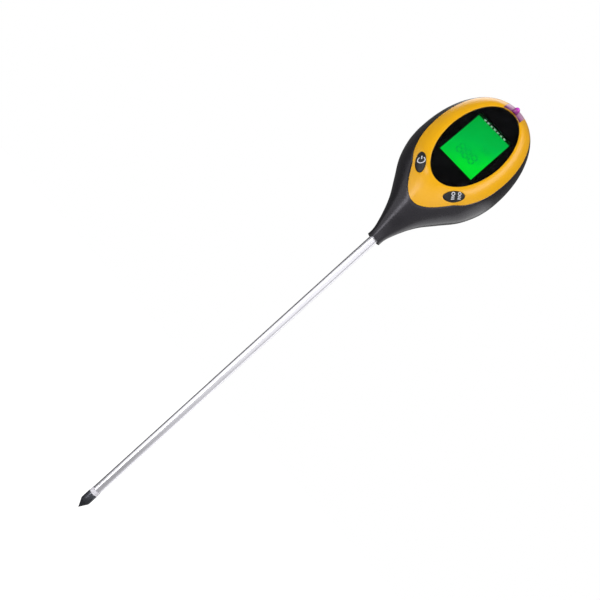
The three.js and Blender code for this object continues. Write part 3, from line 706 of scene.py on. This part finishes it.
def front_cover(outer, cavity):
    cover = combine(copy_of(outer, "cover_shell"), cavity, keep_tool=True)
    cover = combine(cover, cover_keeper(), "INTERSECT")
    rim = oval(WINDOW[0] + WINDOW_CLEAR, WINDOW[1] + WINDOW_CLEAR, count=160)
    rows = [(grown(rim, 0.4), -6), (grown(rim, 0.4), 0.0), (grown(rim, 0.14), 0.08), (rim, 0.3), (rim, 14)]
    cover = combine(cover, face_loft("window_cut", rows))
    profile = [(0.12, -5), (0.12, 0.0), (0.04, 0.05), (0.01, 0.15), (0, 0.4), (0, 10)]
    for side in (-1, 1):
        rows = skin_rows(button_outline(side, BUTTON_CLEAR), profile, skin_depth)
        cover = combine(cover, face_loft("button_cut", rows))
    cover = combine(cover, light_window_region("light_cut", 0.08))
    return stand_for(smooth(combine(cover, sensor_hole("sensor_cut"))), "front_cover")


def light_window(outer, cavity):
    insert = combine(copy_of(outer, "light_window_insert"), cavity, keep_tool=True)
    insert = combine(insert, cover_keeper(), "INTERSECT")
    insert = combine(insert, light_window_region("insert_region", 0.0), "INTERSECT")
    return stand_for(smooth(combine(insert, sensor_hole("sensor_cut"))), "light_window")


def door_outline(grow):
    return grown(rounded_box(-DOOR["x"], DOOR["x"], DOOR["bottom"], DOOR["top"], DOOR["corner"]), grow)


def hinge_depth():
    """The hinge axis's depth behind the window's plane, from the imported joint."""
    joint = next(j for j in frame["record"]["behaviour"]["joints"] if j["child"] == "battery_door")
    _, y, z = (value / MM for value in joint["pos_m"])
    return (y - FACE_Y) * COS - (z - FACE_Z) * SIN


def hinge_notch(depth):
    half, r = HINGE_HALF + 0.3, HINGE_R + 0.35
    notch = across_pin("hinge_notch", r, -half, half, depth)
    side = rounded_box(-half, half, HINGE_V, DOOR["bottom"] + 1, 0.1, 1, 2)
    notch = combine(notch, prism("notch_side", side, depth - r, FAR), "UNION")
    out = rounded_box(-half, half, HINGE_V - r, HINGE_V + r, 0.1, 1, 2)
    return combine(notch, prism("notch_out", out, depth, FAR), "UNION")


def housing_solids(depth):
    """The bay's walls, the hinge's ears and the screw bosses, before they are trimmed to the skin."""
    wall = BAY["wall"]
    walls = rounded_box(-BAY["x"] - wall, BAY["x"] + wall, BAY["bottom"] - wall, BAY["top"] + wall, 3)
    ears = rounded_box(-HINGE_HALF - 3.5, HINGE_HALF + 3.5, HINGE_V - 2.2, HINGE_V + 2, 0.3, 2, 4)
    solids = [prism("bay_walls", walls, BAY["floor"], FAR), prism("hinge_ears", ears, depth - 2.2, FAR)]
    return solids + [face_pin("boss", BOSS_R, x, v, BOSS_JOINT, FAR) for x, v in SCREWS]


def door_recess():
    profile = [(0.75, 18), (0.75, 0.0), (0.5, -0.1), (0.4, -0.35), (0.4, -8)]
    recess = face_loft("door_recess", skin_rows(door_outline(0), profile, back_skin))
    return combine(recess, cavity_body("under_door", DOOR["inset"] + GAP))


def with_screw_hole(housing, x, v):
    """A sink for the head and a way for the shank."""
    rim = oval(SCREW_HEAD_R + GAP, SCREW_HEAD_R + GAP, x, v, count=48)
    sink = [(0.5, 6), (0.5, 0.0), (0.15, -0.12), (0, -0.5)]
    rows = skin_rows(rim, sink, back_skin) + [(rim, SCREW_SEAT - GAP)]
    housing = combine(housing, face_loft("screw_sink", rows))
    return combine(housing, face_pin("screw_way", SCREW_SHANK_R + GAP, x, v, 5, FAR))


def rear_housing(outer, cavity):
    housing = combine(copy_of(outer, "housing_shell"), cavity)
    depth = hinge_depth()
    for solid in housing_solids(depth):
        housing = combine(housing, combine(solid, outer, "INTERSECT", keep_tool=True), "UNION")
    housing = combine(housing, housing_keeper(), "INTERSECT")
    hollow = rounded_box(-BAY["x"], BAY["x"], BAY["bottom"], BAY["top"], 1.8)
    housing = combine(housing, prism("bay_hollow", hollow, BAY["front"], FAR))
    housing = combine(housing, door_recess())
    housing = combine(housing, hinge_notch(depth))
    stub = HINGE_HALF + STUB_L + GAP
    housing = combine(housing, across_pin("stub_hole", STUB_R + 0.2, -stub, stub, depth))
    slot = rounded_box(-6.5, 6.5, BAY["top"] - 1, BAY["top"] + BAY["wall"] + 1, 0.5, 3, 4)
    housing = combine(housing, prism("lead_slot", slot, 14.5, 20))
    for x, v in SCREWS:
        housing = with_screw_hole(housing, x, v)
    r, top = TUBE_R + TUBE_CLEAR, CAVITY_Z + 1
    bore = turned("neck_bore", [(0, 200), (r, 200), (r, top), (0, top)], 64)
    return stand_for(smooth(combine(housing, bore)), "rear_housing")


def battery_door(outer):
    profile = [(-0.4, 18), (-0.4, 0.0), (-0.14, -0.08), (0, -0.32), (0, -8)]
    door = combine(copy_of(outer, "door_panel"), cavity_body("door_inside", DOOR["inset"]))
    keeper = face_loft("door_keeper", skin_rows(door_outline(0), profile, back_skin))
    door = combine(door, keeper, "INTERSECT")
    depth = hinge_depth()
    tab = rounded_box(-HINGE_HALF, HINGE_HALF, HINGE_V, DOOR["bottom"] + 1.5, 0.2, 2, 4)
    tab = combine(prism("hinge_tab", tab, depth - 0.7, depth + 0.8), outer, "INTERSECT", keep_tool=True)
    door = combine(door, tab, "UNION")
    door = combine(door, across_pin("hinge_barrel", HINGE_R, -HINGE_HALF, HINGE_HALF, depth), "UNION")
    stub = HINGE_HALF + STUB_L
    door = combine(door, across_pin("hinge_stub", STUB_R, -stub, stub, depth), "UNION")
    for k in range(RIBS):
        v = RIB_V + RIB_PITCH * k
        rib = rounded_box(-6 + 0.35 * k, 6 - 0.35 * k, v, v + 0.8, 0.38, 6, 16)
        rows = skin_rows(rib, [(-0.28, 0.34), (-0.12, 0.28), (0, 0.1), (0, -0.8)], back_skin)
        door = combine(door, face_loft("door_rib", rows), "UNION")
    return stand_for(smooth(door), "battery_door")


def light_sensor():
    """A round-nosed resin dome on a short flange, leaning out over the window's rim."""
    r, tail = SENSOR["r"], SENSOR["tail"]
    foot = [(0, -tail), (r - 0.1, -tail), (r, -tail + 0.1), (r, -0.6), (r - 0.12, -0.5), (r - 0.12, 0.0)]
    turn = np.linspace(0, math.pi / 2, 14)
    nose = [((r - 0.12) * math.cos(a), r * math.sin(a)) for a in turn[1:-1]]
    dome = turned("light_sensor_dome", foot + nose + [(0, r)], 48, sensor_place)
    return stand_for(smooth(dome, 50), "light_sensor")


# ---------------------------------------------------------------- buttons

def dome_depth(side, x, v):
    """The depth of a button's domed top under face points."""
    along, across = math.sin(side * BUTTON_LEAN), math.cos(side * BUTTON_LEAN)
    dx, dv = x - side * BUTTON_X, v - BUTTON_V
    a = (dx * across - dv * along) / BUTTON_SHORT
    b = (dx * along + dv * across) / BUTTON_LONG
    rise = np.clip(1 - (a * a + b * b) ** 1.3, 0, 1) ** (1 / 2.2)
    return skin_depth(x, v) + BUTTON_SUNK - (BUTTON_PROUD + BUTTON_SUNK) * rise


def button_cap(name, node, side):
    centre = (side * BUTTON_X, BUTTON_V)
    rows = []
    for share in np.sin(np.linspace(0.02, math.pi / 2, 16)):
        points = oval(BUTTON_SHORT * share, BUTTON_LONG * share, *centre, side * BUTTON_LEAN)
        depth = dome_depth(side, points[:, 0], points[:, 1])
        rows.append((points, np.minimum(depth, BUTTON_FLOOR - 0.1)))
    cap = face_loft(name, rows + [(button_outline(side, 0), BUTTON_FLOOR)])
    flange = prism("flange", button_outline(side, FLANGE_W), BUTTON_FLOOR - 0.02, BUTTON_FLOOR + FLANGE_T)
    flange = combine(flange, cavity_body("flange_room", WALL + 2 * GAP), "INTERSECT")
    return stand_for(smooth(combine(cap, flange, "UNION"), 40), node)


def stroke(name, side, path, width, closed):
    """A thin raised line on a button's dome along points (a across the button, b along it)."""
    path = np.asarray(path, float)
    ahead = np.roll(path, -1, axis=0) - np.roll(path, 1, axis=0)
    if not closed:
        ahead[0], ahead[-1] = path[1] - path[0], path[-1] - path[-2]
    ahead /= np.linalg.norm(ahead, axis=1, keepdims=True)
    normal = np.stack([ahead[:, 1], -ahead[:, 0]], -1)
    along, across = math.sin(side * BUTTON_LEAN), math.cos(side * BUTTON_LEAN)
    rings = []
    for point, n in zip(path, normal):
        ring = []
        for reach, lift in STROKE:
            a, b = point + n * width * reach
            x = side * BUTTON_X + a * across + b * along
            v = BUTTON_V - a * along + b * across
            ring.append(on_face(x, v, dome_depth(side, x, v) + lift))
        rings.append(ring)
    return loft(name, [np.array(ring) for ring in rings], closed)


def arc(centre, radius, start, end, count=24):
    angles = np.radians(np.linspace(start, end, count))
    return np.stack([centre[0] + radius * np.cos(angles), centre[1] + radius * np.sin(angles)], -1)


def line(a, b, count=6):
    return np.linspace(a, b, count)


def button_marks():
    """A power sign on one button; two rows of ring and bars on the other."""
    whole = {"start": 0, "end": 345}
    on = [(arc((0, 0.8), 1.75, 125, 415), False), (line((0, 1.2), (0, 3.2)), False)]
    off = []
    for row in (2.8, -0.8):
        off += [(arc((-0.9, row), 0.78, **whole), True)]
        off += [(line((0.55, row - 0.95), (0.55, row + 0.95)), False)]
        off += [(line((1.35, row - 0.95), (1.35, row + 0.95)), False)]
    for name, side, strokes in (("on", -1, on), ("off", 1, off)):
        for k, (path, closed) in enumerate(strokes, 1):
            width = 0.5 if name == "on" else 0.4
            mark = smooth(stroke(f"mark_{name}_{k}", side, path, width, closed), 30)
            mark.data.materials.append(MARK_PAINT)
            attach(mark, "button_" + name)


# ---------------------------------------------------------------- display

def face_box(name, x0, x1, v0, v1, depth0, depth1, edge=0.08):
    """A box square to the face with small chamfers round its front and back."""
    outline = rounded_box(x0, x1, v0, v1, max(edge * 2, 0.05), 3, 6)
    rows = [(grown(outline, -edge), depth0), (outline, depth0 + edge)]
    return face_loft(name, rows + [(outline, depth1 - edge), (grown(outline, -edge), depth1)])


def window_pieces():
    """A clear plate over a black printed plate with an opening for the display."""
    glass_rim, print_rim = oval(*WINDOW, count=160), oval(WINDOW[0] - 0.02, WINDOW[1] - 0.02, count=160)
    rows = [(grown(glass_rim, -0.15), 0.0), (glass_rim, 0.15), (glass_rim, GLASS_T)]
    rows.append((grown(glass_rim, -0.1), GLASS_T + 0.02))
    stand_for(smooth(face_loft("window_glass", rows)), "window_lens")
    plate = prism("window_print", print_rim, GLASS_T + 0.1, LENS_T + 0.2)
    opening = rounded_box(-LCD_X - 0.2, LCD_X + 0.2, LCD_BOTTOM - 0.2, PIN_V + 0.4, 0.15, 2, 4)
    plate = combine(plate, prism("print_opening", opening, 0, 5))
    return stand_for(smooth(plate), "window_mask")


def digit_segments(x, v, height):
    """Seven thin bars of one digit place, as face boxes (x0, x1, v0, v1)."""
    w, t, half = height * 0.52, height * 0.11, height / 2
    bars = [(x + t, x + w - t, v + k * half - t / 2, v + k * half + t / 2) for k in (0, 1, 2)]
    for foot in (v, v + half):
        for side in (x, x + w):
            bars.append((side - t / 2, side + t / 2, foot + t * 0.7, foot + half - t * 0.7))
    return bars


def segment_ghosts():
    """The unlit digits that show faintly through the lit display."""
    bars = [bar for k in range(3) for bar in digit_segments(-6.4 + 4.6 * k, -9.2, 6.2)]
    bars += [bar for k in range(2) for bar in digit_segments(3.6 + 2.9 * k, 2.0, 3.6)]
    for k, (x0, x1, v0, v1) in enumerate(bars, 1):
        ghost = face_box(f"digit_ghost_{k:02}", x0, x1, v0, v1, LCD_FRONT - 0.06, LCD_FRONT - 0.01, 0.01)
        ghost.data.materials.append(GHOST)
        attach(ghost, "housing")


def display():
    glass = face_box("lcd_panel", -LCD_X, LCD_X, LCD_BOTTOM, LCD_TOP, LCD_FRONT, LCD_BACK, 0.12)
    stand_for(smooth(glass), "lcd_glass")
    segment_ghosts()
    half = PIN_COUNT * PIN_PITCH / 2
    carrier = face_box("pin_carrier", -half, half, PIN_V - 0.7, PIN_V + 0.7, LCD_BACK - 0.6, 7.8)
    carrier.data.materials.append(LOOKS["chip_black"])
    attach(carrier, "housing")
    for k in range(PIN_COUNT):
        x = (k - (PIN_COUNT - 1) / 2) * PIN_PITCH
        low, high = PIN_V - PIN_THIN, PIN_V + PIN_THIN
        pin = face_box(f"display_pin_{k + 1}", x - PIN_HALF, x + PIN_HALF, low, high, LCD_FRONT, PIN_BACK)
        stand_for(smooth(pin), "lcd_pin_strip")


# ---------------------------------------------------------------- probe

def tip_point():
    """A cone with a socket for the insulator's spigot and a bore for the bead."""
    tip = [(LEAD_BORE, BEAD_WELL), (LEAD_BORE, SOCKET_FOOT), (SOCKET_R, SOCKET_FOOT), (SOCKET_R, TIP_TOP)]
    tip += [(TIP_R - 0.15, TIP_TOP), (TIP_R, TIP_TOP - 0.15), (TIP_R, CONE_H + 0.12)]
    tip += [(TIP_R - 0.08, CONE_H - 0.1), (0.28, 0.42), (0.14, 0.1), (0.02, 0.0), (0.02, BEAD_WELL)]
    stand_for(smooth(turned("tip_point", tip, 96), 40), "probe_tip")


def tip_insulator():
    """A white ring between tip and tube on a spigot that enters both."""
    low, high = TIP_TOP + 0.1, RING_TOP
    ring = [(LEAD_BORE, SPIGOT_FOOT), (SPIGOT_R, SPIGOT_FOOT), (SPIGOT_R, low), (RING_R - 0.12, low)]
    ring += [(RING_R, low + 0.12), (RING_R, high - 0.12), (RING_R - 0.12, high), (SPIGOT_R, high)]
    ring += [(SPIGOT_R, SPIGOT_TOP), (LEAD_BORE, SPIGOT_TOP)]
    stand_for(smooth(turned("tip_insulator", ring, 96), 40), "insulator_ring")


def long_tube():
    foot = RING_TOP + 0.1
    tube = [(TUBE_BORE, foot), (TUBE_R - 0.12, foot), (TUBE_R, foot + 0.12), (TUBE_R, TUBE_TOP - 0.1)]
    tube += [(TUBE_R - 0.1, TUBE_TOP), (TUBE_BORE, TUBE_TOP)]
    stand_for(smooth(turned("long_tube", tube, 96), 40), "probe_tube")


# ---------------------------------------------------------------- back

def cross_screw(name, node, x, v):
    """A pan head with a cross recess on a plain shank."""
    seat, top = SCREW_SEAT, SCREW_SEAT + SCREW_HEAD_T
    brow = top - SCREW_DOME
    section = [(SCREW_SHANK_R, SCREW_TIP), (SCREW_SHANK_R, seat), (SCREW_HEAD_R, seat), (SCREW_HEAD_R, brow)]
    for a in np.radians((20, 40, 60, 80)):
        section.append((SCREW_HEAD_R * math.cos(a), brow + SCREW_DOME * math.sin(a)))
    screw = face_loft(name, [(oval(r, r, x, v, count=40), depth) for r, depth in section])
    for turn in (0, math.pi / 2):
        slot = oval(0.24, 1.15, x, v, turn, 24)
        screw = combine(screw, prism("cross", slot, top - 0.85, top + 1))
    return stand_for(smooth(screw, 40), node)


def battery_can(low, high, front, back):
    outline = rounded_box(-BATTERY["x"], BATTERY["x"], front, back, 1.5, 8, 8)
    steps = [(-0.9, low), (-0.3, low + 0.12), (0, low + 0.5), (0, low + 1.4), (-0.25, low + 1.7)]
    steps += [(0, low + 2.0), (0, high - 1.2), (-0.2, high - 0.5), (-0.7, high - 0.12), (-1.1, high)]
    rings = []
    for grow, v in steps:
        points = grown(outline, grow)
        rings.append(on_face(points[:, 0], v, points[:, 1]))
    stand_for(smooth(loft("battery_can", rings), 40), "battery")


def battery():
    """A crimped metal can and its two press studs."""
    low, front = BATTERY["bottom"], BATTERY["front"]
    high, back = low + BATTERY["length"], front + BATTERY["depth"]
    battery_can(low, high, front, back)
    middle = (front + back) / 2
    t = np.linspace(0, 2 * math.pi, 40, endpoint=False)
    for name, at, r in (("plus", -6.35, 2.8), ("minus", 6.35, 3.8)):
        shape = [(r - 0.1, high + 0.05), (r, high + 0.15), (r - 0.35, high + 1.2)]
        shape += [(r, high + 2.5), (r - 0.3, high + 2.8)]
        rings = [on_face(at + k * np.cos(t), v, middle + k * np.sin(t)) for k, v in shape]
        stand_for(smooth(loft("stud_" + name, rings), 40), "battery_terminal_" + name)


# ---------------------------------------------------------------- the stage

def area_light(name, place, target, size, brightness):
    data = bpy.data.lights.new(name, "AREA")
    data.shape = "RECTANGLE"
    data.size, data.size_y = size
    data.energy = brightness * math.pi * size[0] * size[1]
    lamp = bpy.data.objects.new(name, data)
    lamp.location = place
    lamp.rotation_euler = (Vector(target) - Vector(place)).to_track_quat("-Z", "Y").to_euler()
    bpy.context.scene.collection.objects.link(lamp)


def studio():
    """A white surround that lights the object more softly than it shows, a pale floor and soft boxes."""
    scene = bpy.context.scene
    scene.view_settings.view_transform = "Standard"
    world = bpy.data.worlds.new("studio")
    world.use_nodes = True
    nodes, links = world.node_tree.nodes, world.node_tree.links
    glow, seen = nodes["Background"], nodes.new("ShaderNodeBackground")
    glow.inputs["Color"].default_value = (1, 1, 1, 1)
    glow.inputs["Strength"].default_value = WORLD_GLOW
    seen.inputs["Color"].default_value = (1, 1, 1, 1)
    mix, path = nodes.new("ShaderNodeMixShader"), nodes.new("ShaderNodeLightPath")
    links.new(path.outputs["Is Camera Ray"], mix.inputs["Fac"])
    links.new(glow.outputs["Background"], mix.inputs[1])
    links.new(seen.outputs["Background"], mix.inputs[2])
    links.new(mix.outputs["Shader"], nodes["World Output"].inputs["Surface"])
    scene.world = world
    corners = [(-1, -1), (1, -1), (1, 1), (-1, 1)]
    points = [(x * FLOOR_REACH, y * FLOOR_REACH, FLOOR_Z) for x, y in corners]
    floor = new_object("floor", points, [(0, 1, 2, 3)])
    floor.visible_glossy = floor.visible_diffuse = False
    floor.data.materials.append(floor_paper())
    for light in LIGHTS:
        area_light(*light)


def camera():
    """Looks at the middle of the probe from the front, rolled so that it lies across the frame."""
    data = bpy.data.cameras.new("view")
    data.lens, data.sensor_width = LENS, SENSOR_WIDTH
    data.clip_start, data.clip_end = 0.01, 20
    azimuth, height, roll = (math.radians(a) for a in (VIEW_AZIMUTH, VIEW_ELEVATION, VIEW_ROLL))
    turn_cos, turn_sin = math.cos(azimuth), math.sin(azimuth)
    rise_cos, rise_sin = math.cos(height), math.sin(height)
    back = Vector((turn_sin * rise_cos, -turn_cos * rise_cos, rise_sin))
    level = Vector((turn_cos, turn_sin, 0))
    rise = Vector((-turn_sin * rise_sin, turn_cos * rise_sin, rise_cos))
    right = level * math.cos(roll) + rise * math.sin(roll)
    up = rise * math.cos(roll) - level * math.sin(roll)
    eye = bpy.data.objects.new("view", data)
    place = (Vector(VIEW_TARGET) + back * VIEW_DISTANCE) * MM
    eye.matrix_world = Matrix.Translation(place) @ Matrix((right, up, back)).transposed().to_4x4()
    bpy.context.scene.collection.objects.link(eye)
    bpy.context.scene.camera = eye


# ---------------------------------------------------------------- build

for slot_node, slot_name in NODE_SLOT.items():
    dress(frame["nodes"][slot_node], slot_name)

MARK_PAINT = mark_paint()
GHOST = ghost_green()
head_shape = head_body("head_shape", 0.0, NECK_Z, **HEAD_TURNS)
inner_shape = cavity_body("inner_shape")
front_cover(head_shape, inner_shape)
light_window(head_shape, inner_shape)
rear_housing(head_shape, inner_shape)
battery_door(head_shape)
bpy.data.objects.remove(head_shape)
light_sensor()
for word, hand in (("on", -1), ("off", 1)):
    button_cap("cap_" + word, "button_" + word, hand)
button_marks()
window_pieces()
display()
tip_point()
tip_insulator()
long_tube()
for number, (screw_x, screw_v) in enumerate(SCREWS, 1):
    cross_screw(f"case_screw_{number}", f"housing_screw_{number}", screw_x, screw_v)
battery()
studio()
camera()
